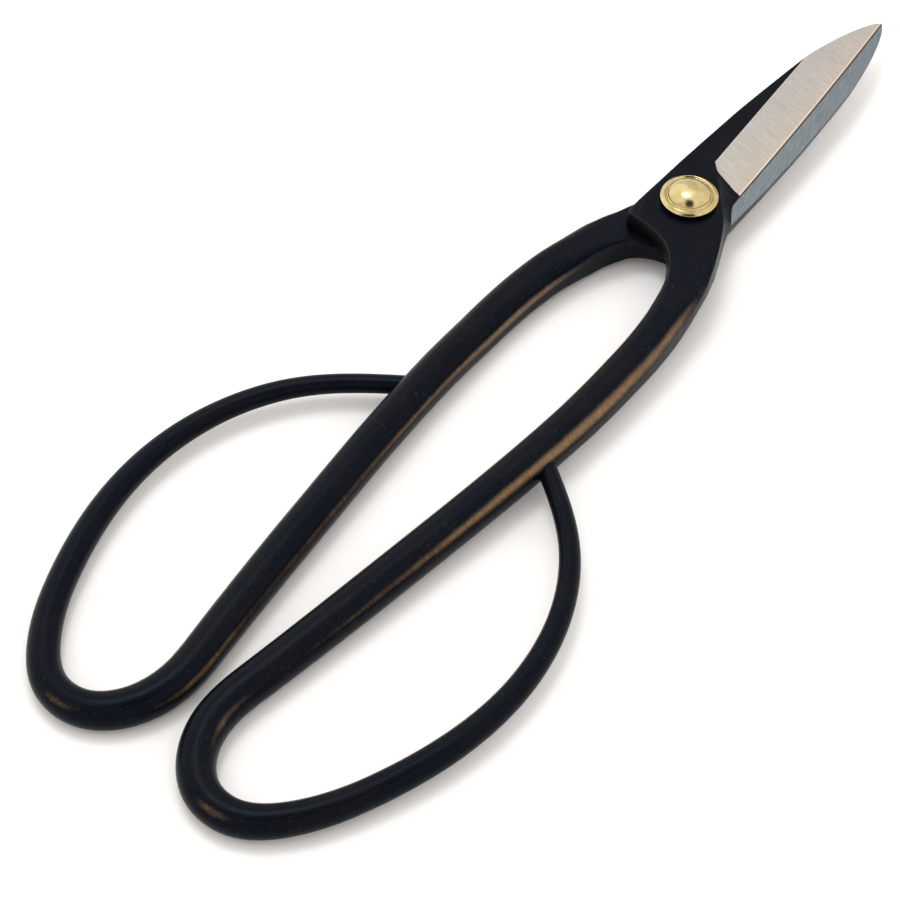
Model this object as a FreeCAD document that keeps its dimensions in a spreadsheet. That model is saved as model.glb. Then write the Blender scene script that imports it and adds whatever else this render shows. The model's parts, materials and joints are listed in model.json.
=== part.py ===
import FreeCAD, Part

# Floral snips: two identical forgings, each a blade, a half-thickness boss, a shank and a large
# finger bow in one piece of steel.  One is turned over on the other about the long axis and a
# brass rivet with two dished brass washers holds them together at the pivot.
#
# Frame, in millimetres: the origin is on the pivot axis at the rivet's flat lower end, where the
# tool rests.  +X runs along the closed blades to the points, +Y to the left, +Z up.
# The upper half carries its handle on -Y and opens by turning counter-clockwise about +Z.

import math
import os

import Sketcher
from FreeCAD import Placement, Rotation, Vector

doc = FreeCAD.newDocument("FloralSnips")
sizes = doc.addObject("Spreadsheet::Sheet", "Sizes")

DRIVING_SIZES = [
    # the boss and the blade of one half, seen from above with the handle on -Y
    ("plate_thickness", 3.6, "one half at the pivot, from the contact plane out"),
    ("heel_reach", 9.2, "pivot to the end face behind it"),
    ("heel_chamfer", 0.8, "corner between the end face and the back"),
    ("heel_hollow_start", 3.0, "where the end face turns into the hollow, across from the pivot"),
    ("back_offset", 7.65, "pivot to the straight back"),
    ("back_straight_reach", 14.0, "pivot to where the back starts to curve"),
    ("nose_length", 1.5, "from where the back turns down, the nose, to the point"),
    ("nose_offset", 1.7, "centre line to the nose"),
    ("nose_radius", 3.2, "rounding of the nose"),
    ("tip_reach", 64.2, "pivot to the point"),
    ("choil_reach", 9.3, "pivot to the start of the cutting edge"),
    ("choil_offset", 4.75, "centre line to the start of the cutting edge"),
    ("choil_radius", 10.0, "hollow behind the cutting edge"),
    ("edge_belly_radius", 1300.0, "slight belly of the cutting edge"),
    ("flank_reach", 4.9, "pivot to where the hollow meets the flank"),
    ("flank_offset", 6.1, "centre line to that point"),
    ("flank_radius", 70.0, "rounding of the flank beside the pivot"),
    ("neck_outer_reach", 8.0, "pivot back to the outer end of the neck line"),
    ("neck_outer_offset", 11.8, "centre line to the outer end of the neck line"),
    ("neck_inner_reach", 12.5, "pivot back to the inner end of the neck line"),
    ("neck_inner_offset", 4.3, "centre line to the inner end of the neck line"),
    ("hollow_radius", 11.5, "hollow between the end face and the shank"),
    ("taper_start", 7.0, "pivot to where the blade starts to thin"),
    ("taper_slope", 0.0316, "thinning of the blade per length"),
    ("bevel_root_slope", 0.51, "rise of the ground bevel over its width at the choil"),
    ("bevel_tip_slope", 0.236, "the same past the point"),
    ("flank_top_offset", 0.75, "how far the flank is cut back at the choil, at the outer face"),
    ("flank_end_reach", 4.0, "pivot back to where the sloped flank ends"),
    ("flank_end_low", 12.0, "sloped flank there, at the contact plane"),
    ("flank_end_high", 10.15, "sloped flank there, at the outer face"),
    # the handle: a rod drawn down from the neck to the end of the bow
    ("neck_overlap", 1.0, "how far the shoulder stands in front of the neck line"),
    ("knee_reach", 24.4, "pivot back to the bend behind the neck"),
    ("knee_spread", 11.5, "centre line to the shank there"),
    ("shank_reach", 46.0, "pivot back to the widest point of the shanks"),
    ("shank_spread", 12.7, "centre line to the shank there"),
    ("straight_reach", 90.0, "pivot back to the straight run towards the waist"),
    ("straight_spread", 9.05, "centre line to the shank there"),
    ("bow_mouth_reach", 62.6, "pivot back to the open end of the bow"),
    ("bow_reach", 143.0, "pivot back to the far end of the bow's centre line"),
    ("waist_offset", 4.45, "centre line to the rod where the bow starts"),
    ("bow_offset", 37.6, "centre line to the widest point of the bow"),
    ("tail_reach", 61.4, "pivot back to the end of the bow's tail, just inside the shank"),
    ("tail_offset", 14.4, "centre line to the end of the bow's tail"),
    ("neck_height", 6.9, "rod in height where it joins the boss"),
    ("shank_width", 6.7, "shank across, behind the neck"),
    ("shank_height", 7.0, "shank in height, behind the neck"),
    ("grip_diameter", 6.9, "rod along the straight of the shank"),
    ("waist_diameter", 6.5, "rod where the bow starts"),
    ("bow_end_diameter", 5.95, "rod at the far end of the bow"),
    ("crook_diameter", 4.7, "rod past the far end of the bow"),
    ("bow_diameter", 4.05, "rod at the widest point of the bow"),
    ("tail_diameter", 3.1, "rod at the end of the tail"),
    # the rivet and its washers
    ("pin_diameter", 4.6, "rivet shank"),
    ("running_gap", 0.05, "radial play of the upper half on the rivet"),
    ("lap_gap", 0.05, "play between the two halves, and under each washer"),
    ("washer_diameter", 10.4, "dished washer outside"),
    ("washer_rim", 1.0, "height of the washer's rim"),
    ("washer_rise", 0.9, "how far the washer rises from its rim to its inner edge"),
    ("washer_edge_round", 0.25, "rounding of the washer's rim"),
    ("head_diameter", 7.4, "formed heads of the rivet"),
    ("head_seat", 0.35, "depth of the seat of a head in its washer"),
    ("head_height", 1.1, "rise of the domed upper head"),
    ("foot_height", 0.5, "rise of the flattened lower head"),
    ("foot_diameter", 4.4, "flat of the lower head, on which the tool rests"),
]

DERIVED_SIZES = [
    ("nose_reach", "=tip_reach - nose_length", "pivot to the nose"),
    ("back_run", "=nose_reach - back_straight_reach", "curved back along the blade"),
    ("back_drop", "=back_offset - nose_offset", "curved back across the blade"),
    ("back_radius", "=(back_run ^ 2 + back_drop ^ 2) / (2 * back_drop)", "smooth curve"),
    ("heel_flat_end", "=back_offset - heel_chamfer", "end face to the chamfer"),
    ("heel_back_start", "=heel_reach - heel_chamfer", "back to the chamfer"),
    ("far_reach", "=tip_reach + 3", "cuts along the blade run out past the point"),
    ("taper_top", "=plate_thickness + 2", "cuts run out above the plate"),
    ("taper_run", "=far_reach - taper_start", "taper along the blade"),
    ("taper_far_height", "=plate_thickness - taper_run * taper_slope", "taper past the point"),
    ("edge_rise", "=choil_offset / (tip_reach - choil_reach)", "slant of the cutting edge across the blade"),
    ("bevel_run", "=back_offset + choil_offset + 2", "bevel cut across"),
    ("bevel_root_in", "=-choil_offset + bevel_run", "bevel cut at the choil, inner side"),
    ("bevel_root_out", "=choil_offset + 4", "bevel cut at the choil, outer side"),
    ("bevel_root_top", "=bevel_run * bevel_root_slope", "bevel cut at the choil, top"),
    ("bevel_root_low", "=4 * bevel_root_slope", "bevel cut at the choil, run out below"),
    ("bevel_tip_edge", "=(far_reach - tip_reach) * edge_rise", "edge line carried past the point"),
    ("bevel_tip_in", "=bevel_tip_edge + bevel_run", "bevel cut past the point, inner side"),
    ("bevel_tip_out", "=4 - bevel_tip_edge", "bevel cut past the point, outer side"),
    ("bevel_tip_top", "=bevel_run * bevel_tip_slope", "bevel cut past the point, top"),
    ("bevel_tip_low", "=4 * bevel_tip_slope", "bevel cut past the point, run out below"),
    ("flank_over", "=choil_offset + 8", "flank cut at the choil, run out sideways"),
    ("flank_end_over", "=flank_end_low + 2", "flank cut at its end, run out sideways"),
    ("upper_bore_radius", "=pin_diameter / 2 + running_gap", "the upper half turns on the rivet"),
    ("lower_bore_radius", "=pin_diameter / 2", "the lower half is tight on the rivet"),
    ("half_lift", "=lap_gap / 2", "each half off the contact plane"),
    ("washer_level", "=plate_thickness + half_lift + lap_gap", "inner face of a washer"),
    ("rim_level", "=washer_level + washer_rim", "top of a washer's rim"),
    ("rim_side_level", "=rim_level - washer_edge_round", "side of the rim below its rounding"),
    ("washer_radius", "=washer_diameter / 2", "washer outside"),
    ("rim_top_radius", "=washer_radius - washer_edge_round", "top of the rim inside its rounding"),
    ("head_radius", "=head_diameter / 2", "formed heads"),
    ("brow_level", "=rim_level + washer_rise", "inner edge of the washer's dish"),
    ("seat_level", "=brow_level - head_seat", "seat of a head"),
    ("pin_radius", "=pin_diameter / 2", "rivet shank"),
    ("crown_level", "=brow_level + head_height", "top of the domed head"),
    ("foot_level", "=brow_level + foot_height", "flat of the lower head"),
    ("foot_radius", "=foot_diameter / 2", "flat of the lower head"),
    ("dome_radius", "=(head_radius ^ 2 + head_height ^ 2) / (2 * head_height)", "dome of the upper head"),
]

for row, (alias, content, meaning) in enumerate(DRIVING_SIZES + DERIVED_SIZES, start=1):
    sizes.set(f"A{row}", meaning)
    sizes.set(f"B{row}", str(content))
    sizes.setAlias(f"B{row}", alias)
doc.recompute()


def size(term):
    """Number behind a term: the alias of a size, with a minus sign in front where it is negative."""
    sign = -1 if term.startswith("-") else 1
    return sign * sizes.get(term.lstrip("-"))


def linked(term):
    """Expression that ties a property to the same term."""
    return term.replace("-", "-Sizes.") if term.startswith("-") else f"Sizes.{term}"


# ---------------------------------------------------------------- sketches tied to the sheet

def new_sketch(body, name, role, offset=None):
    """Sketch on one of the body's own origin planes, lifted off it by the size named in offset."""
    sketch = body.newObject("Sketcher::SketchObject", name)
    plane = next(feature for feature in body.Origin.OriginFeatures if feature.Role == role)
    sketch.AttachmentSupport = [(plane, "")]
    sketch.MapMode = "FlatFace"
    if offset:
        sketch.AttachmentOffset = Placement(Vector(0, 0, size(offset)), Rotation())
        sketch.setExpression("AttachmentOffset.Base.z", linked(offset))
    return sketch


def side_geometry(start, end, radius):
    """Line, or an arc that bulges to the right of its direction for a positive radius."""
    if radius is None:
        return Part.LineSegment(start, end)
    chord = end - start
    half = chord.Length / 2
    rise = abs(radius) - math.sqrt(max(radius ** 2 - half ** 2, 0.0))
    outward = Vector(chord.y, -chord.x, 0).normalize()
    middle = (start + end) * 0.5 + outward * math.copysign(rise, radius)
    return Part.Arc(start, middle, end)


def anchor(sketch, side, point, term, direction, axis):
    """Hold one coordinate of a corner at the size its term names."""
    if term == "0":
        sketch.addConstraint(Sketcher.Constraint("PointOnObject", side, point, axis))
        return
    index = sketch.addConstraint(Sketcher.Constraint(direction, -1, 1, side, point, size(term)))
    sketch.setExpression(f"Constraints[{index}]", linked(term))


def draw_outline(sketch, corners, radii=None):
    """Closed outline through the corners, counter-clockwise.

    A corner is a pair of terms.  radii gives the radius term of each side that is an arc, with a
    minus sign on a hollow one.
    """
    radii = radii or {}
    values = [Vector(*(0.0 if term == "0" else size(term) for term in pair), 0) for pair in corners]
    ends = []
    for side, start in enumerate(values):
        end = values[(side + 1) % len(values)]
        radius = size(radii[side]) if side in radii else None
        sketch.addGeometry(side_geometry(start, end, radius), False)
        forward = sketch.getPoint(side, 1).isEqual(start, 1e-6)
        ends.append((1, 2) if forward else (2, 1))
    for side, (first, last) in enumerate(ends):
        following = (side + 1) % len(ends)
        sketch.addConstraint(Sketcher.Constraint("Coincident", side, last, following, ends[following][0]))
        anchor(sketch, side, first, corners[side][0], "DistanceX", -2)
        anchor(sketch, side, first, corners[side][1], "DistanceY", -1)
    for side, term in radii.items():
        index = sketch.addConstraint(Sketcher.Constraint("Radius", side, abs(size(term))))
        sketch.setExpression(f"Constraints[{index}]", linked(term.lstrip("-")))


def remove_wedge(body, name, stations):
    """Cut the wedge lofted between two triangles that stand across the blade."""
    sections = []
    for index, (station, corners) in enumerate(stations):
        sketch = new_sketch(body, f"{name}_section_{index}", "YZ_Plane", station)
        draw_outline(sketch, corners)
        sections.append(sketch)
    cut = body.newObject("PartDesign::SubtractiveLoft", name)
    cut.Profile = sections[0]
    cut.Sections = sections[1:]
    cut.Ruled = True
    return cut


# ---------------------------------------------------------------- the rod of a handle

# Shape of the bow, from just before the waist round to its tail: how far along from the bow's
# open end to its far end, and how far out from the waist to its widest point, each as a fraction.
BOW_SHAPE = [
    (0.736, 0.02), (0.832, 0.0), (0.929, 0.065), (0.993, 0.237), (0.995, 0.424),
    (0.932, 0.629), (0.777, 0.843), (0.502, 1.0), (0.272, 0.913), (0.112, 0.677),
]
ROD_STATIONS = 34
SHANK_STATIONS = 19
SECTION_POINTS = 24


def rod_path():
    """Centre line of the rod in the contact plane, from the neck to the tail, and the neck's width."""
    outer = Vector(-size("neck_outer_reach"), -size("neck_outer_offset"), 0)
    inner = Vector(-size("neck_inner_reach"), -size("neck_inner_offset"), 0)
    forward = Vector(0, 0, 1).cross(outer - inner).normalize()
    mouth, reach = size("bow_mouth_reach"), size("bow_reach")
    waist, widest = size("waist_offset"), size("bow_offset")
    points = [(outer + inner) * 0.5 + forward * size("neck_overlap")]
    for part in ("knee", "shank", "straight"):
        points.append(Vector(-size(f"{part}_reach"), -size(f"{part}_spread"), 0))
    for along, out in BOW_SHAPE:
        points.append(Vector(-mouth - along * (reach - mouth), -waist - out * (widest - waist), 0))
    points.append(Vector(-size("tail_reach"), -size("tail_offset"), 0))
    path = Part.BSplineCurve()
    path.interpolate(Points=points)
    return path, (outer - inner).Length


def rod_stages(neck_width):
    """Share of the rod's length, width, height and squareness (2 is round) where they are set."""
    grip, waist = size("grip_diameter"), size("waist_diameter")
    far, crook = size("bow_end_diameter"), size("crook_diameter")
    bow, tail = size("bow_diameter"), size("tail_diameter")
    return [
        (0.00, neck_width, size("neck_height"), 5.0),
        (0.06, size("shank_width"), size("shank_height"), 4.0),
        (0.20, grip, grip, 2.6),
        (0.36, grip, grip, 2.2),
        (0.48, waist, waist, 2.0),
        (0.58, far, far, 2.0),
        (0.67, crook, crook, 2.0),
        (0.79, bow, bow, 2.0),
        (1.00, tail, tail, 2.0),
    ]


def rod_size(stages, share):
    """Width, height and squareness at a share of the length, eased from stage to stage."""
    before, after = next(pair for pair in zip(stages, stages[1:]) if share <= pair[1][0])
    part = (share - before[0]) / (after[0] - before[0])
    ease = part * part * (3 - 2 * part)
    return [low + (high - low) * ease for low, high in zip(before[1:], after[1:])]


def rod_section(path, parameter, width, height, squareness):
    """Closed rounded-square wire across the rod.  It starts at a corner, off the contact plane."""
    centre = path.value(parameter)
    across = Vector(path.tangent(parameter)[0]).cross(Vector(0, 0, 1))
    points = []
    for index in range(SECTION_POINTS):
        angle = 2 * math.pi * (index / SECTION_POINTS + 1 / 8)
        cosine, sine = math.cos(angle), math.sin(angle)
        wide = math.copysign(abs(cosine) ** (2 / squareness), cosine) * width / 2
        tall = math.copysign(abs(sine) ** (2 / squareness), sine) * height / 2
        points.append(centre + across * wide + Vector(0, 0, tall))
    rounded = Part.BSplineCurve()
    rounded.interpolate(Points=points, PeriodicFlag=True)
    return Part.Wire(rounded.toShape())


def rod_shape():
    """Solid rod: the shank with the first turn of the bow, joined to the rest of the bow."""
    path, neck_width = rod_path()
    stages = rod_stages(neck_width)
    length = path.length()
    wires = []
    for station in range(ROD_STATIONS + 1):
        share = station / ROD_STATIONS
        parameter = path.parameterAtDistance(share * length, path.FirstParameter)
        wires.append(rod_section(path, parameter, *rod_size(stages, share)))
    shank = Part.makeLoft(wires[:SHANK_STATIONS + 1], True, False)
    bow = Part.makeLoft(wires[SHANK_STATIONS:], True, False)
    return shank.fuse(bow).removeSplitter().Solids[0]


# ---------------------------------------------------------------- the two forgings

PLATE_CORNERS = [
    ("-heel_reach", "heel_flat_end"),
    ("-heel_reach", "heel_hollow_start"),
    ("-neck_inner_reach", "-neck_inner_offset"),
    ("-neck_outer_reach", "-neck_outer_offset"),
    ("flank_reach", "-flank_offset"),
    ("choil_reach", "-choil_offset"),
    ("tip_reach", "0"),
    ("nose_reach", "nose_offset"),
    ("back_straight_reach", "back_offset"),
    ("-heel_back_start", "back_offset"),
]
PLATE_RADII = {
    1: "-hollow_radius",
    3: "flank_radius",
    4: "-choil_radius",
    5: "edge_belly_radius",
    6: "nose_radius",
    7: "back_radius",
}


def forged_half(name, bore_radius):
    """One forging, as it lies with its contact plane at z = 0 and its boss above it."""
    rod = doc.addObject("Part::Feature", f"{name}_rod")
    rod.Shape = rod_shape()
    body = doc.addObject("PartDesign::Body", name)
    body.BaseFeature = rod

    plate_sketch = new_sketch(body, f"{name}_plate_outline", "XY_Plane")
    draw_outline(plate_sketch, PLATE_CORNERS, PLATE_RADII)
    plate = body.newObject("PartDesign::Pad", f"{name}_plate")
    plate.Profile = plate_sketch
    plate.setExpression("Length", linked("plate_thickness"))
    doc.recompute()

    taper_sketch = new_sketch(body, f"{name}_taper_outline", "XZ_Plane")
    draw_outline(taper_sketch, [
        ("taper_start", "plate_thickness"), ("far_reach", "taper_far_height"),
        ("far_reach", "taper_top"), ("taper_start", "taper_top")])
    taper = body.newObject("PartDesign::Pocket", f"{name}_taper")
    taper.Profile = taper_sketch
    taper.Type = "ThroughAll"
    taper.Midplane = True
    doc.recompute()

    remove_wedge(body, f"{name}_bevel", [
        ("choil_reach", [("-bevel_root_out", "-bevel_root_low"), ("bevel_root_in", "bevel_root_top"),
                         ("-bevel_root_out", "bevel_root_top")]),
        ("far_reach", [("-bevel_tip_out", "-bevel_tip_low"), ("bevel_tip_in", "bevel_tip_top"),
                       ("-bevel_tip_out", "bevel_tip_top")])])
    doc.recompute()

    remove_wedge(body, f"{name}_flank", [
        ("-flank_end_reach", [("-flank_end_low", "0"), ("-flank_end_high", "plate_thickness"),
                              ("-flank_end_over", "plate_thickness")]),
        ("choil_reach", [("-choil_offset", "0"), ("flank_top_offset", "plate_thickness"),
                         ("-flank_over", "plate_thickness")])])
    doc.recompute()

    bore_sketch = new_sketch(body, f"{name}_bore_circle", "XY_Plane")
    bore_sketch.addGeometry(Part.Circle(Vector(0, 0, 0), Vector(0, 0, 1), size(bore_radius)), False)
    bore_sketch.addConstraint(Sketcher.Constraint("Coincident", 0, 3, -1, 1))
    index = bore_sketch.addConstraint(Sketcher.Constraint("Radius", 0, size(bore_radius)))
    bore_sketch.setExpression(f"Constraints[{index}]", linked(bore_radius))
    bore = body.newObject("PartDesign::Pocket", f"{name}_bore")
    bore.Profile = bore_sketch
    bore.Type = "ThroughAll"
    bore.Midplane = True
    doc.recompute()
    return body


upper_half = forged_half("upper_half", "upper_bore_radius")
lower_half = forged_half("lower_half", "lower_bore_radius")
TURNED_OVER = Rotation(Vector(1, 0, 0), 180)


# ---------------------------------------------------------------- the rivet and its washers

def turned_body(name, corners, radii=None):
    """Body turned about the pivot axis from an outline of radius and height terms."""
    body = doc.addObject("PartDesign::Body", name)
    sketch = new_sketch(body, f"{name}_profile", "XZ_Plane")
    draw_outline(sketch, corners, radii)
    turned = body.newObject("PartDesign::Revolution", f"{name}_turned")
    turned.Profile = sketch
    turned.ReferenceAxis = (sketch, ["V_Axis"])
    turned.Angle = 360
    doc.recompute()
    return body


def washer(name):
    """Dished washer over the contact plane, with a seat for the rivet's head."""
    return turned_body(name, [
        ("pin_radius", "washer_level"), ("washer_radius", "washer_level"),
        ("washer_radius", "rim_side_level"), ("rim_top_radius", "rim_level"),
        ("head_radius", "brow_level"), ("head_radius", "seat_level"), ("pin_radius", "seat_level"),
    ], {2: "washer_edge_round"})


top_washer = washer("top_washer")
bottom_washer = washer("bottom_washer")
pivot_rivet = turned_body("pivot_rivet", [
    ("0", "-foot_level"), ("foot_radius", "-foot_level"), ("head_radius", "-brow_level"),
    ("head_radius", "-seat_level"), ("pin_radius", "-seat_level"), ("pin_radius", "seat_level"),
    ("head_radius", "seat_level"), ("head_radius", "brow_level"), ("0", "crown_level"),
], {7: "dome_radius"})

SUB_PARTS = [
    # body, turned over about the long axis, height off the contact plane
    (upper_half, False, "half_lift"),
    (lower_half, True, "-half_lift"),
    (pivot_rivet, False, None),
    (top_washer, False, None),
    (bottom_washer, True, None),
]
for body, turned_over, lift in SUB_PARTS:
    body.Placement = Placement(Vector(), TURNED_OVER if turned_over else Rotation())
    body.setExpression("Placement.Base.z", linked("foot_level") + (f" + {linked(lift)}" if lift else ""))
doc.recompute()

# ---------------------------------------------------------------- checks and files

for thing in doc.Objects:
    if {"Invalid", "Error"} & set(thing.State):
        raise RuntimeError(f"{thing.Name} failed: {thing.State}")
for body, _, _ in SUB_PARTS:
    if body.Shape.isNull() or not body.Shape.isValid() or len(body.Shape.Solids) != 1:
        raise RuntimeError(f"{body.Label} is not one valid solid")

os.makedirs("parts", exist_ok=True)
for body, _, _ in SUB_PARTS:
    body.Shape.exportStep(f"parts/{body.Label}.step")
    box = body.Shape.optimalBoundingBox()
    print(f"{body.Label}: volume {body.Shape.Volume:.1f} mm3, x {box.XMin:.2f} to {box.XMax:.2f}, "
          f"y {box.YMin:.2f} to {box.YMax:.2f}, z {box.ZMin:.2f} to {box.ZMax:.2f}")
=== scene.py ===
import json
import math

import bmesh
import bpy
import numpy as np
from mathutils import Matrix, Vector


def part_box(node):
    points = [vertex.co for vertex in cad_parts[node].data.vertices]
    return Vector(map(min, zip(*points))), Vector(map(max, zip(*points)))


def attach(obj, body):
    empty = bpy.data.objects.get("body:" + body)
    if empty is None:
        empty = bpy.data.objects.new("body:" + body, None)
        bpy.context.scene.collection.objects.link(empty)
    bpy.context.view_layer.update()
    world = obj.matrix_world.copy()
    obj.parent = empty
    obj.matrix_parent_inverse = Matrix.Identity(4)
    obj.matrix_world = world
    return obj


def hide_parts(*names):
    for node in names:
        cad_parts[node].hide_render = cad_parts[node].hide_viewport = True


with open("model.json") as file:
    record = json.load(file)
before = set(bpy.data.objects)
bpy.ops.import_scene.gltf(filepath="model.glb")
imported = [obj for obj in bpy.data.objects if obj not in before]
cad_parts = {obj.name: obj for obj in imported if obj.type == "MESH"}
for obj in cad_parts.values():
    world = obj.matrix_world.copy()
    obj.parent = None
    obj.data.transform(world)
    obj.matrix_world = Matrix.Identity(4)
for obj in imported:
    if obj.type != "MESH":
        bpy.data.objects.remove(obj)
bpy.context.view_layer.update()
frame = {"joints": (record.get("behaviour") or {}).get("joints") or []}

MM = 0.001


# ---------------------------------------------------------------- what the frame says

CONTACT = frame["joints"][0]["pos_m"][2] / MM   # height of the plane where the two halves meet
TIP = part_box("upper_half")[1].x / MM        # reach of the points in front of the pivot
WASHER_LOW, WASHER_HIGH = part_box("top_washer")
WASHER_RADIUS = WASHER_HIGH.x / MM
WASHER_FOOT = WASHER_LOW.z / MM
WASHER_TOP = WASHER_HIGH.z / MM
RIVET_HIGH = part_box("pivot_rivet")[1]
HEAD_RADIUS = RIVET_HIGH.x / MM
HEAD_TOP = RIVET_HIGH.z / MM
LAP = 0.025                                 # each half stands off the contact plane by this
PIN_RADIUS = 2.3
BORE_CLEARANCE = 0.05
DRILL_ROOM = 0.6 * MM                       # faces this near to the bore are laid anew


# ---------------------------------------------------------------- small geometry helpers

def unit(vector):
    return vector / max(np.linalg.norm(vector), 1e-12)


def ease(value, low, high):
    """Smooth step from 0 at low to 1 at high."""
    share = np.clip((np.asarray(value, float) - low) / (high - low), 0.0, 1.0)
    return share * share * (3 - 2 * share)


def soft_min(first, second, round_over):
    """The lower of two heights, with the crease between them rounded."""
    near = np.maximum(round_over - np.abs(first - second), 0.0) / round_over
    return np.minimum(first, second) - near * near * round_over / 4


def faired(keys, values, count, width, **ends):
    """Table of count rows through keys and values, evened out by a running mean of this width."""
    samples = np.linspace(keys[0], keys[-1], count)
    padded = np.pad(np.interp(samples, keys, values), width // 2, **ends)
    return samples, np.convolve(padded, np.ones(width) / width, mode="valid")


def natural_spline(points):
    """Smooth curve through points, by distance: a function of an array of distances, and its length."""
    points = np.asarray(points, float)
    knots = np.concatenate([[0.0], np.cumsum(np.linalg.norm(np.diff(points, axis=0), axis=1))])
    gaps = np.diff(knots)
    count = len(points)
    system = np.zeros((count, count))
    right = np.zeros((count, points.shape[1]))
    system[0, 0] = system[-1, -1] = 1.0
    for row in range(1, count - 1):
        before, after = gaps[row - 1], gaps[row]
        system[row, row - 1:row + 2] = before, 2 * (before + after), after
        rise_after = (points[row + 1] - points[row]) / after
        rise_before = (points[row] - points[row - 1]) / before
        right[row] = 6 * (rise_after - rise_before)
    bend = np.linalg.solve(system, right)

    def at(distances):
        distances = np.clip(np.asarray(distances, float), 0.0, knots[-1])
        piece = np.clip(np.searchsorted(knots, distances, side="right") - 1, 0, count - 2)
        gap = gaps[piece][:, None]
        left = (knots[piece + 1] - distances)[:, None]
        done = (distances - knots[piece])[:, None]
        return ((bend[piece] * left ** 3 + bend[piece + 1] * done ** 3) / (6 * gap)
                + (points[piece] / gap - bend[piece] * gap / 6) * left
                + (points[piece + 1] / gap - bend[piece + 1] * gap / 6) * done)

    return at, knots[-1]


def by_index(keys, places):
    """Smooth interpolation of rows of keys at fractional row numbers."""
    keys = np.asarray(keys, float)
    places = np.clip(np.asarray(places, float), 0, len(keys) - 1)
    slopes = np.gradient(keys, axis=0)
    piece = np.minimum(places.astype(int), len(keys) - 2)
    share = (places - piece).reshape((-1,) + (1,) * (keys.ndim - 1))
    square, cube = share ** 2, share ** 3
    return ((2 * cube - 3 * square + 1) * keys[piece] + (cube - 2 * square + share) * slopes[piece]
            + (3 * square - 2 * cube) * keys[piece + 1] + (cube - square) * slopes[piece + 1])


# ---------------------------------------------------------------- rings across a forging
#
# A forging is one skin of rings from the point of its blade to the end of its tail.  A ring has
# six corners: 0 inner top (spine), 1 border of bevel or flank, 2 outer middle (cutting edge),
# 3 outer bottom, 4 inner bottom, 5 inner middle.  On the blade and the boss corners 3 and 4 lie
# on the contact plane.  The numbers give the faces between neighbouring corners.

SPANS = (18, 14, 8, 14, 6, 10)
COLUMNS = sum(SPANS)
CORNER_WEIGHT = 1.3                         # a radian of turn draws as many columns as this many mm


def cut_back(line, setback):
    """The line without its first stretch of length setback."""
    steps = np.linalg.norm(np.diff(line, axis=0), axis=1)
    travelled = np.concatenate([[0.0], np.cumsum(steps)])
    place = int(np.searchsorted(travelled, setback, side="right"))
    share = (setback - travelled[place - 1]) / max(travelled[place] - travelled[place - 1], 1e-12)
    first = line[place - 1] + (line[place] - line[place - 1]) * share
    return np.vstack([first, line[place:]])


def rounded(start, corner, end, pieces=8):
    """Arc that turns from start to end inside the corner."""
    incoming, outgoing = unit(corner - start), unit(end - corner)
    cosine = float(np.clip(incoming @ outgoing, -1.0, 1.0))
    weight = math.sqrt(max((1 + cosine) / 2, 1e-4))
    share = np.linspace(0.0, 1.0, pieces + 1)[:, None]
    first, middle, last = (1 - share) ** 2, 2 * weight * share * (1 - share), share ** 2
    return (first * start + middle * corner + last * end) / (first + middle + last)


def make_ring(spans, setbacks):
    """Even set of points round a ring, given its six sides as lines and the rounding of each corner."""
    spans = [np.asarray(span, float) for span in spans]
    trimmed = []
    for side, span in enumerate(spans):
        first, last = setbacks[side], setbacks[(side + 1) % 6]
        length = np.linalg.norm(np.diff(span, axis=0), axis=1).sum()
        room = min(1.0, 0.99 * length / max(first + last, 1e-9))
        trimmed.append(cut_back(cut_back(span, first * room)[::-1], last * room)[::-1])
    arcs = [rounded(trimmed[side - 1][-1], spans[side][0], trimmed[side][0]) for side in range(6)]
    points = []
    for side in range(6):
        opening, closing = arcs[side], arcs[(side + 1) % 6]
        half = len(opening) // 2
        line = np.vstack([opening[half:], trimmed[side][1:-1], closing[:half + 1]])
        steps = np.diff(line, axis=0)
        lengths = np.linalg.norm(steps, axis=1)
        kept = np.concatenate([lengths > 1e-9, [True]])
        line = line[kept]
        steps = np.diff(line, axis=0)
        lengths = np.linalg.norm(steps, axis=1)
        heading = steps / lengths[:, None]
        turn = np.arccos(np.clip((heading[1:] * heading[:-1]).sum(1), -1, 1))
        weight = lengths.copy()
        weight[1:] += turn * CORNER_WEIGHT / 2
        weight[:-1] += turn * CORNER_WEIGHT / 2
        reach = np.concatenate([[0.0], np.cumsum(weight)])
        places = np.linspace(0.0, reach[-1], SPANS[side] + 1)[:-1]
        points.append(np.stack([np.interp(places, reach, line[:, axis]) for axis in range(3)], axis=1))
    return np.vstack(points)


# ---------------------------------------------------------------- blade

EDGE_START, EDGE_OFFSET, EDGE_BELLY = 9.3, 4.75, 1.2
EDGE_LENGTH = TIP - EDGE_START
# upper edge of the spine: reach and offset
SPINE_X = (-9.0, 2.0, 14.0, 25.0, 30.0, 35.0, 41.0, 45.0, 48.3, 52.3, 55.6, 58.9, 61.8, 63.2, 64.0, TIP)
SPINE_Y = (7.07, 6.84, 6.60, 6.31, 6.03, 5.70, 5.30, 4.96, 4.56, 3.92, 3.24, 2.42, 1.42, 0.80, 0.32, 0.0)
DRAFT_BOSS, DRAFT_BLADE = 0.17, 0.30
PLATE, TAPER_START, TAPER_SLOPE = 3.6, 7.0, 0.0316
CREASE = 0.07                               # the face rolls over into the bevel within this height
BEVEL_ROOT, BEVEL_TIP = 0.537, 0.262
BORDER_START, BORDER_OFFSET, BORDER_SLOPE = 10.2, 1.78, 0.09


def edge_line(x):
    """Cutting edge, seen from above.  Works on numbers, arrays and shader values."""
    share = (x - EDGE_START) * (1 / EDGE_LENGTH)
    return (share - 1) * EDGE_OFFSET - share * (1 - share) * EDGE_BELLY


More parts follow.
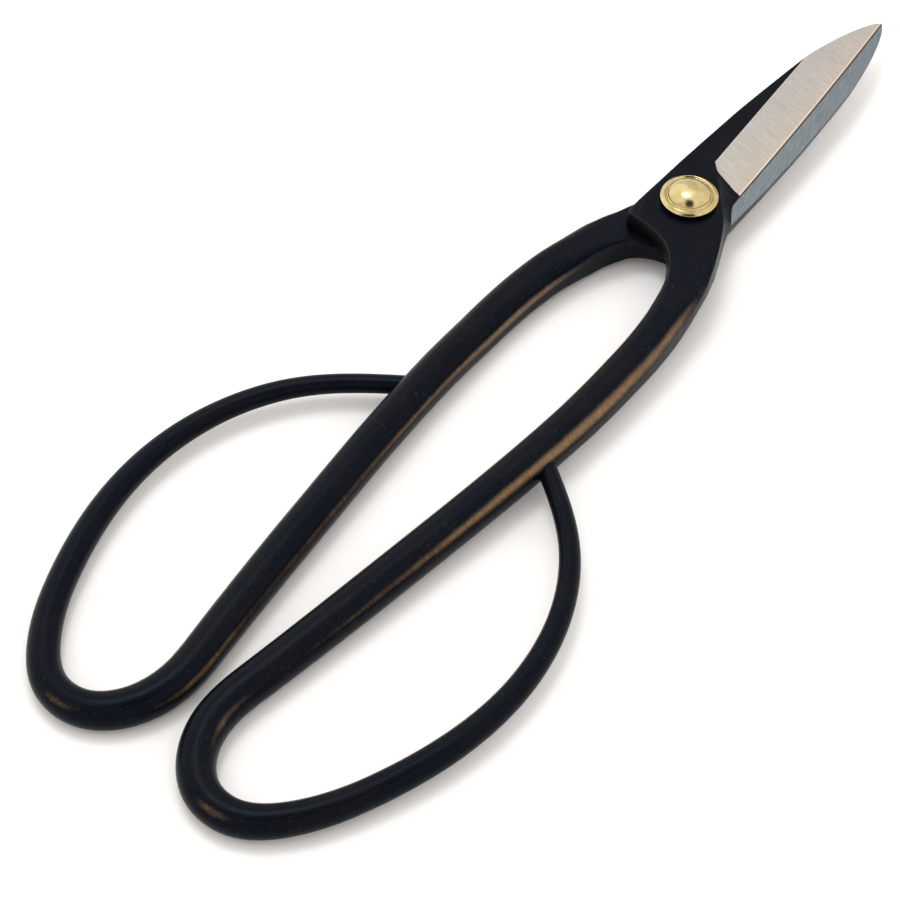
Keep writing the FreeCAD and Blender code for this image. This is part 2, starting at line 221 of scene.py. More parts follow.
def border_line(x):
    """Upper border of the ground bevel, seen from above."""
    return (x - BORDER_START) * BORDER_SLOPE + BORDER_OFFSET


SPINE = faired(SPINE_X, SPINE_Y, 245, 9, mode="reflect", reflect_type="odd")


def spine_line(x):
    """Upper edge of the spine, seen from above."""
    return np.maximum(np.interp(x, *SPINE), 0.0)


def face_height(x):
    return PLATE - np.maximum(np.asarray(x, float) - TAPER_START, 0.0) * TAPER_SLOPE


def bevel_height(x, y):
    slope = BEVEL_ROOT + (BEVEL_TIP - BEVEL_ROOT) * (x - EDGE_START) / EDGE_LENGTH
    return slope * (y - edge_line(x))


def blade_height(x, y):
    return np.maximum(soft_min(face_height(x), bevel_height(x, y), CREASE), 0.0)


def spine_draft(x):
    """Lean of the spine wall: set in per height."""
    return DRAFT_BOSS + (DRAFT_BLADE - DRAFT_BOSS) * ease(x, SPINE_X[0], SPINE_X[2])


PLUNGE_Y = (-4.75, -3.4, -2.0, -0.6, 0.1, 0.85, 1.50, 1.90, 2.4, 3.8, 7.7)
PLUNGE_X = (9.30, 9.14, 8.97, 8.80, 9.22, 9.75, 10.30, 10.70, 10.95, 11.15, 11.50)
PLUNGE_STEP = 0.22                          # how far the foot of the plunge wall stands in front
BEND_REACH = 9.0                            # the plunge's shape fades out of the rings over this
BACK = 7.65                                 # foot of the spine wall beside the boss
PLUNGE = faired(PLUNGE_Y, PLUNGE_X, 84, 7, mode="edge")
# corner 1 leaves the plunge at this offset, climbs this fast and stays out of this share of the top
TURN_START, TURN_CLIMB, TURN_SHARE = -0.6, 1.1, 0.24
TOP_POINTS, FLOOR_POINTS, WALL_POINTS = 90, 40, 12
FLOOR_TURNS = (6, 33)                       # the points of the floor where corners 3 and 4 lie


def plunge_line(y):
    """Where the ground bevel ends, across the blade."""
    return np.interp(y, *PLUNGE)


def blade_ring(reach):
    """Ring across the blade where it crosses the cutting edge at this reach."""
    fade = 1 - ease(reach, EDGE_START, EDGE_START + BEND_REACH)

    def bend(y):
        return (plunge_line(y) - EDGE_START) * fade

    low = float(edge_line(reach))
    x_back = reach + bend(7.0)
    top = float(spine_line(x_back))
    back = top + float(spine_draft(x_back) * blade_height(x_back, top))
    across = np.linspace(top, low, TOP_POINTS)
    x = reach + bend(across)
    surface = np.stack([x, across, blade_height(x, across)], axis=1)
    surface[-1, 2] = 0.0
    start = TURN_START + (reach - EDGE_START) * TURN_CLIMB
    split = min(float(border_line(reach)), start, top - TURN_SHARE * (top - low))
    turn = int(np.clip(np.searchsorted(-across, -split), 4, TOP_POINTS - 5))
    floor_y = np.linspace(low, back, FLOOR_POINTS)
    floor = np.stack([reach + bend(floor_y), floor_y, np.zeros(FLOOR_POINTS)], axis=1)
    wall = np.linspace(floor[-1], surface[0], WALL_POINTS)
    first, second = FLOOR_TURNS
    spans = (surface[:turn + 1], surface[turn:],
             floor[:first + 1], floor[first:second + 1], floor[second:], wall)
    height = surface[0, 2]
    return make_ring(spans, (min(0.22, 0.3 * height), 0.02, 0.02, 0.0, 0.0, min(0.08, 0.2 * height)))


def blade_reaches():
    """Reaches of the blade's rings, from the point back, closer at the point and at the plunge."""
    reaches = [TIP - 0.06]
    step = 0.12
    while reaches[-1] - step > EDGE_START + PLUNGE_STEP:
        reaches.append(reaches[-1] - step)
        room = reaches[-1] - EDGE_START - PLUNGE_STEP
        step = min(step * 1.15, 0.75, 0.18 + 0.09 * room)
    reaches.append(EDGE_START + PLUNGE_STEP)
    return reaches


# ---------------------------------------------------------------- boss and neck

# Rings listed from the plunge to the shank: inner top, outer top, outer middle and inner
# middle, as x and y.  The inner line follows the spine, the heel and the hollow.
BOSS = [
    ((11.50, 6.62), (8.80, -0.40), (9.30, -4.75), (11.50, BACK)),
    ((9.60, 6.66), (8.00, -0.75), (8.30, -4.85), (9.60, BACK)),
    ((7.40, 6.70), (6.90, -1.55), (7.30, -5.03), (7.40, BACK)),
    ((4.90, 6.76), (5.60, -2.65), (6.10, -5.42), (4.90, BACK)),
    ((2.40, 6.82), (4.10, -3.90), (4.80, -6.15), (2.40, BACK)),
    ((-0.20, 6.88), (2.50, -5.25), (3.40, -7.05), (-0.20, BACK)),
    ((-2.80, 6.94), (0.90, -6.65), (1.80, -7.85), (-2.80, BACK)),
    ((-5.40, 7.00), (-0.70, -7.85), (0.00, -8.55), (-5.40, BACK)),
    ((-7.20, 7.03), (-2.00, -8.62), (-1.60, -9.15), (-7.20, BACK)),
    ((-8.35, 6.98), (-2.90, -9.12), (-2.60, -9.55), (-8.30, 7.52)),
    ((-9.00, 6.45), (-3.60, -9.50), (-3.35, -9.88), (-9.10, 6.85)),
    ((-9.20, 5.40), (-4.20, -9.82), (-4.00, -10.18), (-9.32, 5.60)),
    ((-9.25, 4.10), (-4.90, -10.16), (-4.70, -10.48), (-9.37, 4.20)),
    ((-9.35, 2.80), (-5.60, -10.49), (-5.45, -10.78), (-9.48, 2.90)),
    ((-9.65, 1.40), (-6.40, -10.84), (-6.25, -11.10), (-9.78, 1.48)),
    ((-10.05, 0.00), (-7.30, -11.20), (-7.15, -11.44), (-10.17, 0.06)),
    ((-10.65, -1.40), (-8.30, -11.58), (-8.15, -11.80), (-10.77, -1.34)),
    ((-11.50, -2.75), (-9.40, -11.98), (-9.25, -12.18), (-11.61, -2.68)),
    ((-12.55, -3.98), (-10.65, -12.40), (-10.50, -12.58), (-12.64, -3.90)),
    ((-13.75, -5.00), (-12.00, -12.82), (-11.88, -12.98), (-13.82, -4.91)),
]
SHOULDER_RING = 18                          # the shoulder wall stands at this ring of BOSS
SHOULDER_GAP = 0.10
# the wall's line on the contact plane: outer bottom corner and inner bottom corner
SHOULDER_OUTER, SHOULDER_INNER = (-8.60, -9.20), (-13.00, -4.05)
SHOULDER_BULGE = 0.75                       # the wall bends round the mate's heel by this
BLOCK_DEPTH = 3.3
SHANK_JOIN = 15.5                           # distance along the path where the plain shank starts
PLUNGE_RINGS = 4.0                          # rings of BOSS over which the plunge's curve fades out
SHOULDER_BLEND = 7.0                        # rings of BOSS over which its floor turns to the wall
FLOOR_SHARES = (0.16, 0.86)                 # corners 3 and 4 of the boss, as shares of its width
SIDE_POINTS = 24
NECK_RINGS = 26


# ---------------------------------------------------------------- shank and bow

BOW_MOUTH, BOW_REACH, WAIST, BOW_WIDE = 62.6, 143.0, 4.45, 37.42
BOW_SHAPE = (
    (0.736, 0.02), (0.832, 0.0), (0.929, 0.065), (0.993, 0.237), (0.995, 0.424),
    (0.932, 0.629), (0.777, 0.843), (0.502, 1.0), (0.272, 0.913), (0.112, 0.677),
)
PATH_POINTS = (
    [(-9.39, -7.54), (-24.4, -11.5), (-46.0, -12.7), (-90.0, -9.05)]
    + [(-BOW_MOUTH - along * (BOW_REACH - BOW_MOUTH), -WAIST - out * (BOW_WIDE - WAIST))
       for along, out in BOW_SHAPE]
    + [(-61.4, -14.4)]
)
path_at, PATH_LENGTH = natural_spline(PATH_POINTS)

# share of the path: width, height, roundness of the corners (1 is a full round)
ROD = np.array([
    (0.00, 6.70, 6.90, 0.55),
    (0.06, 6.65, 6.95, 0.64),
    (0.12, 6.80, 6.95, 0.78),
    (0.20, 6.90, 6.90, 0.90),
    (0.30, 6.90, 6.90, 0.97),
    (0.38, 6.88, 6.85, 1.00),
    (0.48, 6.50, 6.50, 1.00),
    (0.53, 6.30, 6.30, 1.00),
    (0.58, 5.92, 5.92, 1.00),
    (0.63, 5.30, 5.30, 1.00),
    (0.68, 4.80, 4.80, 1.00),
    (0.74, 4.60, 4.60, 1.00),
    (0.80, 4.20, 4.20, 1.00),
    (0.87, 3.74, 3.74, 1.00),
    (0.94, 3.42, 3.42, 1.00),
    (1.00, 3.30, 3.30, 1.00),
])


ROUND_CORNERS = np.array([1, 1, 0, 1, 1, 0])    # corners of a rod's ring that are rounded
ROD_STEP = 0.85                             # distance between the rings of the rod
TAIL_STRETCH = 4.0                          # the last of the rod has closer rings
TAIL_SHORT = 1.05                           # the last plain ring stands off the path's end by this
TAIL_GAP = 0.06                             # hair line between the tail and the shank
SHANK_END = 80.0                            # the tail meets the shank before this distance


def rod_frame(distances):
    """Centre, direction and across vectors of the rod."""
    distances = np.atleast_1d(np.asarray(distances, float))
    centre = path_at(distances)
    ahead = path_at(np.minimum(distances + 0.05, PATH_LENGTH)) - path_at(np.maximum(distances - 0.05, 0.0))
    ahead /= np.linalg.norm(ahead, axis=1)[:, None]
    across = np.stack([ahead[:, 1], -ahead[:, 0]], axis=1)
    return centre, ahead, across


def rod_corners(distance):
    """The six corners and the setback of the rod's ring."""
    centre, _, across = (array[0] for array in rod_frame(distance))
    share = distance / PATH_LENGTH
    width, height, roundness = (np.interp(share, ROD[:, 0], ROD[:, column]) for column in (1, 2, 3))
    half, tall = width / 2, height / 2
    inner, outer = centre + across * half, centre - across * half
    corners = np.array([
        (*inner, tall), (*outer, tall), (*outer, 0.0), (*outer, -tall), (*inner, -tall), (*inner, 0.0)])
    return corners, roundness * min(half, tall)


def straight_ring(corners, setbacks, bulge=0.0):
    """Ring with straight sides between six corners, the lower one bent forward by bulge."""
    spans = [np.linspace(corners[side], corners[(side + 1) % 6], SIDE_POINTS) for side in range(6)]
    spans[3][:, 0] += bulge * np.sin(np.linspace(0.0, math.pi, SIDE_POINTS))
    return make_ring(spans, setbacks)


def plate_ring(place):
    """Ring across the boss, at this place among the rings of BOSS."""
    inner_top, outer_top, outer, inner = by_index(BOSS, [place])[0]
    fade = 1 - ease(place, 0.0, PLUNGE_RINGS)
    sloped = ease(place, SHOULDER_RING - SHOULDER_BLEND, SHOULDER_RING)
    low_outer, low_inner = (
        (1 - sloped) * (outer + share * (inner - outer)) + sloped * np.array(foot)
        for share, foot in ((FLOOR_SHARES[0], SHOULDER_OUTER), (FLOOR_SHARES[1], SHOULDER_INNER)))
    corners = np.array([
        (*inner_top, float(face_height(inner_top[0]))), (*outer_top, float(face_height(outer_top[0]))),
        (*outer, 0.0), (*low_outer, 0.0), (*low_inner, 0.0), (*inner, 0.0)])
    spans = [np.linspace(corners[side], corners[(side + 1) % 6], SIDE_POINTS) for side in range(6)]
    top = spans[0]
    straight = np.interp(top[:, 1], (outer_top[1], inner_top[1]), (outer_top[0], inner_top[0]))
    curved = plunge_line(top[:, 1]) + (outer_top[0] - float(plunge_line(outer_top[1])))
    top[:, 0] = straight + (curved - straight) * fade
    top[0, 0], top[-1, 0] = inner_top[0], outer_top[0]
    spans[3][:, 0] += SHOULDER_BULGE * sloped * np.sin(np.linspace(0.0, math.pi, SIDE_POINTS))
    edge = 0.20 + 0.5 * float(ease(place, 14.0, len(BOSS)))
    return make_ring(spans, (0.22, edge, 0.03, 0.0, 0.0, 0.06))


def neck_rings():
    """Rings from the shoulder block to the plain shank."""
    inner_top, outer_top, outer, inner = by_index(BOSS, [SHOULDER_RING + SHOULDER_GAP])[0]
    shift = np.array([-SHOULDER_GAP, 0.0])
    start = np.array([
        (*inner_top, PLATE), (*outer_top, PLATE), (*outer, 0.0),
        (*(np.array(SHOULDER_OUTER) + shift), -BLOCK_DEPTH),
        (*(np.array(SHOULDER_INNER) + shift), -BLOCK_DEPTH), (*inner, 0.0)])
    start_set = np.array([0.22, 0.30, 0.30, 0.40, 0.40, 0.06])
    middle = np.array([
        (-17.2, -6.55, 3.55), (-16.2, -13.75, 3.55), (-16.1, -13.90, 0.0),
        (-15.0, -12.0, -3.35), (-17.6, -6.35, -3.35), (-17.3, -6.50, 0.0)])
    middle_set = np.array([0.9, 1.2, 1.2, 1.7, 0.9, 0.2])
    end, end_round = rod_corners(SHANK_JOIN)
    after, after_round = rod_corners(SHANK_JOIN + 5.0)
    keys = np.stack([2 * start - middle, start, middle, end, after])
    setbacks = np.stack([start_set, start_set, middle_set, ROUND_CORNERS * end_round,
                         ROUND_CORNERS * after_round])
    rings = []
    for place in np.linspace(1.0, 3.0, NECK_RINGS + 1)[:-1]:
        bulge = SHOULDER_BULGE * (1 - float(ease(place, 1.0, 2.0)))
        rings.append(straight_ring(by_index(keys, [place])[0], by_index(setbacks, [place])[0], bulge))
    return rings


def rod_rings():
    """Rings of the shank and the bow."""
    distances = list(np.arange(SHANK_JOIN, PATH_LENGTH - TAIL_STRETCH, ROD_STEP))
    distances += list(np.linspace(PATH_LENGTH - TAIL_STRETCH, PATH_LENGTH - TAIL_SHORT, 9))
    rings = []
    for distance in distances:
        corners, setback = rod_corners(distance)
        rings.append(straight_ring(corners, setback * ROUND_CORNERS))
    return rings


def shank_gap(points):
    """Distance of points from the shank's skin, beside the tail."""
    distances = np.linspace(SHANK_JOIN, SHANK_END, 400)
    centre = path_at(distances)
    radius = np.interp(distances / PATH_LENGTH, ROD[:, 0], ROD[:, 1]) / 2
    flat = np.linalg.norm(points[:, None, :2] - centre[None], axis=2)
    nearest = flat.argmin(axis=1)
    return np.hypot(flat.min(axis=1), points[:, 2]) - radius[nearest]


def fit_tail(ring):
    """The tail's last ring, run along the rod until it meets the shank, with a hair of a gap."""
    _, ahead, _ = (array[0] for array in rod_frame(PATH_LENGTH - 1.0))
    heading = np.array([*ahead, 0.0])
    fitted = ring.copy()
    for _ in range(30):
        gap = shank_gap(fitted) - TAIL_GAP
        fitted += heading * gap[:, None] * 0.8
    return fitted


def forging_rings():
    """All rings of a forging in its own frame, and the numbers where blade, boss and neck end."""
    rings = [blade_ring(reach) for reach in blade_reaches()]
    blade_end = len(rings)
    places = np.concatenate([[0.0, 0.12], np.linspace(0.3, SHOULDER_RING, 82)])
    rings += [plate_ring(place) for place in places]
    boss_end = len(rings)
    rings += neck_rings()
    rod_start = len(rings)
    rings += rod_rings()
    rings[-1] = fit_tail(rings[-1])
    share = np.linspace(0.0, 1.0, 8)[1:-1]
    before = rings[-8]
    for index, part in enumerate(share):
        rings[-7 + index] = before + (rings[-1] - before) * part
    return np.array(rings), blade_end, boss_end, rod_start


# ---------------------------------------------------------------- how each half is set

# by reach: how far the lower half's handle is bent away from the upper one, and how far the
# upper half's handle is spread outwards
DROP_X = (-160.0, -100.0, -75.0, -55.0, -45.0, -14.0)
DROP_Z = (0.25, 0.25, 0.30, 0.85, 1.55, 1.60)
SPREAD_X = (-110.0, -90.0, -65.0, -50.0, -38.0, -28.0, -20.0, -14.0, -11.0, -8.0, -5.0)
SPREAD_Y = (0.0, 0.10, 0.35, 0.45, 0.32, 0.52, 0.75, 0.62, 0.36, 0.12, 0.0)
# the lower half's heel is slimmer on its outer side by this
SLIM_X = (-20.0, -14.0, -11.0, -7.0, -2.0, 1.0)
SLIM_Y = (0.0, 0.25, 0.85, 1.35, 1.2, 0.0)
BOW_SAG = 0.25


def set_lower(points):
    """The lower half's handle stands off the contact plane, away from the upper half."""
    drop = np.interp(points[:, 0], DROP_X, DROP_Z)
    whole = drop * ease(-points[:, 0], 10.0, 20.0)
    block = np.clip(-points[:, 2] / BLOCK_DEPTH, 0.0, 1.0) * ease(-points[:, 0], -3.0, -1.0)
    moved = points.copy()
    moved[:, 2] += whole + (drop - whole) * block
    outside = ease(-points[:, 1], 5.0, 9.0) * (1 - block)
    moved[:, 1] += np.interp(points[:, 0], SLIM_X, SLIM_Y) * outside
    return moved


def set_upper(points):
    """The upper half's handle stands a little wider."""
    moved = points.copy()
    moved[:, 1] -= np.interp(points[:, 0], SPREAD_X, SPREAD_Y)
    moved[:, 2] -= BOW_SAG * ease(-points[:, 0], 60.0, 100.0)
    return moved


# ---------------------------------------------------------------- worn places

def bump(value, centre, reach):
    """Bell of height 1 about the centre."""
    return np.exp(-((value - centre) / reach) ** 2)


def around(points, distances):
    """Angle of points round the rod, in degrees: 0 at the top, 90 inner, -90 outer."""
    centre, _, across = rod_frame(distances)
    side = ((points[:, :2] - centre) * across).sum(1)
    return np.degrees(np.arctan2(side, points[:, 2]))


def nearest_distance(points, first, last):
    """Where along the rod each point lies, between these distances."""
    distances = np.linspace(first, last, 800)
    centre = path_at(distances)
    result = np.zeros(len(points))
    for start in range(0, len(points), 4000):
        block = points[start:start + 4000, None, :2] - centre[None]
        result[start:start + 4000] = distances[(block ** 2).sum(2).argmin(1)]
    return result


# ---------------------------------------------------------------- meshes

FINISHES = {}


def new_piece(name, vertices, faces, finishes, body, replaced):
    """Object from millimetre points in the record's frame, riding on a body and standing for a CAD node."""
    mesh = bpy.data.meshes.new(name)
    mesh.from_pydata([tuple(point) for point in np.asarray(vertices) * MM], [], faces)
    mesh.validate()
    piece = bpy.data.objects.new(name, mesh)
    bpy.context.scene.collection.objects.link(piece)
    for finish in finishes:
        mesh.materials.append(finish)
    mesh.shade_smooth()
    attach(piece, body)
    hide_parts(replaced)
    return piece


def sharpen(mesh, degrees):
    """Marks the edges that turn by more than this as sharp."""
    working = bmesh.new()
    working.from_mesh(mesh)
    for edge in working.edges:
        if len(edge.link_faces) == 2 and math.degrees(edge.calc_face_angle(0.0)) > degrees:
            edge.smooth = False
    working.to_mesh(mesh)
    working.free()


def ring_of_edges(working, radius, height, segments):
    """Circle of edges about the pivot axis."""
    corners = [working.verts.new((radius * math.cos(angle), radius * math.sin(angle), height))
               for angle in np.linspace(0.0, 2 * math.pi, segments, endpoint=False)]
    return [working.edges.new((corner, corners[(index + 1) % segments]))
            for index, corner in enumerate(corners)]


def drill(mesh, radius, segments=64):
    """Bores a forging for the rivet's pin: opens both faces about the axis and walls the hole."""
    working = bmesh.new()
    working.from_mesh(mesh)
    near = [face for face in working.faces
            if min(corner.co.xy.length for corner in face.verts) < radius + DRILL_ROOM]
    bmesh.ops.delete(working, geom=near, context="FACES")
    borders = [edge for edge in working.edges if edge.is_boundary]
    middle = sum(edge.verts[0].co.z for edge in borders) / len(borders)
    circles = []
    for border in ([edge for edge in borders if edge.verts[0].co.z < middle],
                   [edge for edge in borders if edge.verts[0].co.z >= middle]):
        circle = ring_of_edges(working, radius, border[0].verts[0].co.z, segments)
        bmesh.ops.bridge_loops(working, edges=border + circle)
        circles += circle
    bmesh.ops.bridge_loops(working, edges=circles)
    bmesh.ops.recalc_face_normals(working, faces=working.faces)
    working.to_mesh(mesh)
    working.free()


def add_attribute(mesh, name, kind, values):
    attribute = mesh.attributes.new(name, kind, "POINT")
    key = "vector" if kind == "FLOAT_VECTOR" else "value"
    attribute.data.foreach_set(key, np.asarray(values, np.float32).ravel())


RINGS, BLADE_END, BOSS_END, ROD_START = forging_rings()
BLACKENED, BLADE_TOP, BLADE_INSIDE = 0, 1, 2    # the order of a forging's finishes
NECK_START = -11.0                          # nothing in front of this is worn to bronze
ROD_RADIUS = 3.4


def skin():
    """Faces of a forging's skin and the number of each one's finish, with a fan at either end."""
    last = (len(RINGS) - 1) * COLUMNS
    tip, tail = last + COLUMNS, last + COLUMNS + 1
    faces, finish_of = [], []
    for ring in range(len(RINGS) - 1):
        for column in range(COLUMNS):
            first, following = ring * COLUMNS, (column + 1) % COLUMNS
            faces.append((first + column, first + following,
                          first + COLUMNS + following, first + COLUMNS + column))
            if ring < BLADE_END - 1 and column < sum(SPANS[:2]):
                finish_of.append(BLADE_TOP)
            elif ring < BOSS_END - 1 and sum(SPANS[:2]) <= column < sum(SPANS[:5]):
                finish_of.append(BLADE_INSIDE)
            else:
                finish_of.append(BLACKENED)
    for column in range(COLUMNS):
        following = (column + 1) % COLUMNS
        faces += [(tip, following, column), (tail, last + column, last + following)]
        finish_of += [BLADE_TOP, BLACKENED]
    return faces, finish_of


def end_centres():
    """Middle of the fan at the point and of the fan at the tail."""
    centres = np.vstack([RINGS[0].mean(0) + (0.05, 0.0, 0.0), RINGS[-1].mean(0)])
    _, ahead, _ = rod_frame(PATH_LENGTH - 1.0)
    centres[1, :2] += ahead[0] * (shank_gap(centres[1:]) - TAIL_GAP)
    return centres


def along_rod(local):
    """Where along the rod each point of a forging lies: first its shank, then its tail."""
    middle = (ROD_START + len(RINGS)) // 2 * COLUMNS
    distances = np.concatenate([nearest_distance(local[:middle], 0.0, 0.6 * PATH_LENGTH),
                                nearest_distance(local[middle:], 0.4 * PATH_LENGTH, PATH_LENGTH)])
    distances[len(RINGS) * COLUMNS] = 0.0
    return distances


def heel_wear(count):
    """How much the edges of the heel and the hollow are rubbed, for each point."""
    ring_of, column_of = np.divmod(np.arange(count), COLUMNS)
    beside = np.where(column_of < COLUMNS / 2, column_of / 1.1, (COLUMNS - column_of) / 3.2)
    along = bump(ring_of, BOSS_END - 8, 34) * (ring_of > BLADE_END + 34)
    return np.clip(along * np.exp(-beside ** 2), 0.0, 1.0)


def build_half(name, body, replaced, turned_over, streaks):
    """One forging.  streaks are worn places: (distance, reach, angle, spread, strength)."""
    local = np.vstack([RINGS.reshape(-1, 3), end_centres()])
    faces, finish_of = skin()
    lift = CONTACT + (-LAP if turned_over else LAP)
    turn = np.array([1.0, -1.0, -1.0]) if turned_over else np.ones(3)
    bent = set_lower(local) if turned_over else set_upper(local)
    finishes = [FINISHES["blackened steel"], FINISHES["blade top"], FINISHES["blade inside"]]
    piece = new_piece(name, bent * turn + (0.0, 0.0, lift), faces, finishes, body,
                      replaced)
    mesh = piece.data
    mesh.polygons.foreach_set("material_index", finish_of)

    distances = along_rod(local)
    angles = around(local, distances)
    worn = np.zeros(len(local))
    for distance, reach, angle, spread, strength in streaks:
        turned = (angles - angle + 180) % 360 - 180
        worn += strength * bump(distances, distance, reach) * bump(turned, 0.0, spread)
    worn[local[:, 0] > NECK_START] = 0.0
    run = np.stack([distances, np.radians(angles) * ROD_RADIUS, np.zeros(len(local))], axis=1)
    add_attribute(mesh, "rubbed", "FLOAT", heel_wear(len(local)) * (0.25 if turned_over else 1.0))
    add_attribute(mesh, "place", "FLOAT_VECTOR", local)
    add_attribute(mesh, "run", "FLOAT_VECTOR", run)
    add_attribute(mesh, "worn", "FLOAT", np.clip(worn, 0.0, 1.5))
    drill(mesh, (PIN_RADIUS + BORE_CLEARANCE) * MM)
    sharpen(mesh, 38)


def build_turned(name, profile, replaced, segments=160):
    """Brass piece turned about the pivot axis, from points of radius and height."""
    vertices, faces, rows = [], [], []
    closed = profile[0][0] > 1e-6
    for radius, height in profile:
        if radius < 1e-6:
            rows.append([len(vertices)])
            vertices.append((0.0, 0.0, height))
            continue
        rows.append(list(range(len(vertices), len(vertices) + segments)))
        for index in range(segments):
            angle = 2 * math.pi * index / segments
            vertices.append((radius * math.cos(angle), radius * math.sin(angle), height))
    pairs = list(zip(rows, rows[1:]))
    if closed:
        pairs.append((rows[-1], rows[0]))
    for lower, upper in pairs:
        for index in range(segments):
            following = (index + 1) % segments
            ring = [lower[index % len(lower)], lower[following % len(lower)],
                    upper[following % len(upper)], upper[index % len(upper)]]
            faces.append(tuple(dict.fromkeys(ring)))
    piece = new_piece(name, vertices, faces, [FINISHES["polished brass"]], "lower", replaced)
    sharpen(piece.data, 50)


# ---------------------------------------------------------------- finishes as expressions

class Wire:
    """An output of a node.  Arithmetic on it adds Math nodes to its finish."""

    def __init__(self, finish, socket):
        self.finish = finish
        self.socket = socket

    def __add__(self, other):
        return self.finish.math("ADD", self, other)

    def __radd__(self, other):
        return self.finish.math("ADD", other, self)

    def __sub__(self, other):
        return self.finish.math("SUBTRACT", self, other)

    def __rsub__(self, other):
        return self.finish.math("SUBTRACT", other, self)

    def __mul__(self, other):
        return self.finish.math("MULTIPLY", self, other)

    def __rmul__(self, other):
        return self.finish.math("MULTIPLY", other, self)


class Finish:
    """A material made of nodes, with the shader that all of them lead to."""

    def __init__(self, name):
        self.material = bpy.data.materials.new(name)
        self.material.use_nodes = True
        self.tree = self.material.node_tree
        self.tree.nodes.clear()
        self.shader = self.tree.nodes.new("ShaderNodeBsdfPrincipled")
        output = self.tree.nodes.new("ShaderNodeOutputMaterial")
        self.tree.links.new(self.shader.outputs[0], output.inputs["Surface"])
        FINISHES[name] = self.material

    def node(self, kind, settings=(), inputs=(), output=0):
        """A node of this kind: its settings first, then the values or links of its sockets."""
        made = self.tree.nodes.new(kind)
        for name, value in dict(settings).items():
            setattr(made, name, value)
        for name, value in dict(inputs).items():
            self.feed(made.inputs[name], value)
        return Wire(self, made.outputs[output])

    def feed(self, socket, value):
        if isinstance(value, Wire):
            self.tree.links.new(value.socket, socket)
        else:
            socket.default_value = value

    def set(self, **inputs):
        """Sockets of the shader, named with underscores for spaces."""
        for name, value in inputs.items():
            self.feed(self.shader.inputs[name.replace("_", " ")], value)

    def math(self, operation, *values):
        return self.node("ShaderNodeMath", {"operation": operation}, dict(enumerate(values)))

    def clamp(self, value):
        return self.node("ShaderNodeClamp", {}, {"Value": value})

    def step(self, value, low, high):
        """Smooth step of a value from 0 at low to 1 at high."""
        return self.node("ShaderNodeMapRange", {"interpolation_type": "SMOOTHSTEP"},
                         {"Value": value, "From Min": low, "From Max": high})

    def mix(self, share, first, second):
        """Colour between first and second."""
        return self.node("ShaderNodeMix", {"data_type": "RGBA"},
                         {"Factor": share, 6: first, 7: second}, output=2)

    def vector(self, operation, first, second):
        return self.node("ShaderNodeVectorMath", {"operation": operation}, {0: first, 1: second})

    def attribute(self, name, output):
        return self.node("ShaderNodeAttribute", {"attribute_name": name}, {}, output=output)

    def parts(self, whole):
        """The x, y and z of a vector."""
        return [self.node("ShaderNodeSeparateXYZ", {}, {0: whole}, output=axis) for axis in range(3)]

    def join(self, x, y, z):
        return self.node("ShaderNodeCombineXYZ", {}, {0: x, 1: y, 2: z})

    def noise(self, place, scale, detail=3.0, roughness=0.5):
        return self.node("ShaderNodeTexNoise", {}, {
            "Vector": place, "Scale": scale, "Detail": detail, "Roughness": roughness})

    def oxide_sheen(self):
        """Weak, bluish gleam of the oxide skin."""
        self.set(Specular_IOR_Level=0.066, Specular_Tint=OXIDE_SHEEN)

    def bump(self, height, strength, distance):
        return self.node("ShaderNodeBump", {}, {
            "Height": height, "Strength": strength, "Distance": distance})


BLACK_OXIDE = (0.0018, 0.0025, 0.0048, 1.0)
BROWN_OXIDE = (0.0085, 0.0062, 0.0058, 1.0)
OXIDE_SHEEN = (0.60, 0.78, 1.0, 1.0)
OXIDE_FLECK = (0.10, 0.115, 0.14, 1.0)
OXIDE_SCUFF = (0.045, 0.052, 0.064, 1.0)
OXIDE_GRAIN = (0.09, 0.095, 0.10, 1.0)
BRONZE, BRONZE_PALE = (0.165, 0.102, 0.055, 1.0), (0.31, 0.205, 0.118, 1.0)
HEEL_BROWN = (0.13, 0.085, 0.066, 1.0)
BEVEL_COOL, BEVEL_WARM = (0.45, 0.44, 0.425, 1.0), (0.52, 0.44, 0.37, 1.0)
BEVEL_DARK, BEVEL_LIGHT = (0.20, 0.19, 0.18, 1.0), (0.80, 0.77, 0.73, 1.0)
# painted highlight colour for the lines along the cutting edge and the bevel's upper border
PAINTED_EDGE_HIGHLIGHT = (0.86, 0.70, 0.56, 1.0)
INSIDE_BLUE, INSIDE_GREY = (0.138, 0.166, 0.190, 1.0), (0.184, 0.206, 0.215, 1.0)
INSIDE_LIGHT, INSIDE_DARK = (0.33, 0.36, 0.39, 1.0), (0.10, 0.12, 0.14, 1.0)
# painted shadow colour for the thin dark line beside the mate's cutting edge
PAINTED_MATE_EDGE_SHADOW = (0.012, 0.012, 0.014, 1.0)
BRASS_DEEP, BRASS_PALE = (0.465, 0.37, 0.165, 1.0), (0.575, 0.48, 0.25, 1.0)
BRASS_SPOT = (0.45, 0.34, 0.17, 1.0)
FLOOR_DARK, FLOOR_LIGHT = (0.83, 0.83, 0.835, 1.0), (0.86, 0.86, 0.865, 1.0)
CARD_DARK, CARD_LIGHT = (0.012, 0.011, 0.010, 1.0), (0.022, 0.02, 0.018, 1.0)


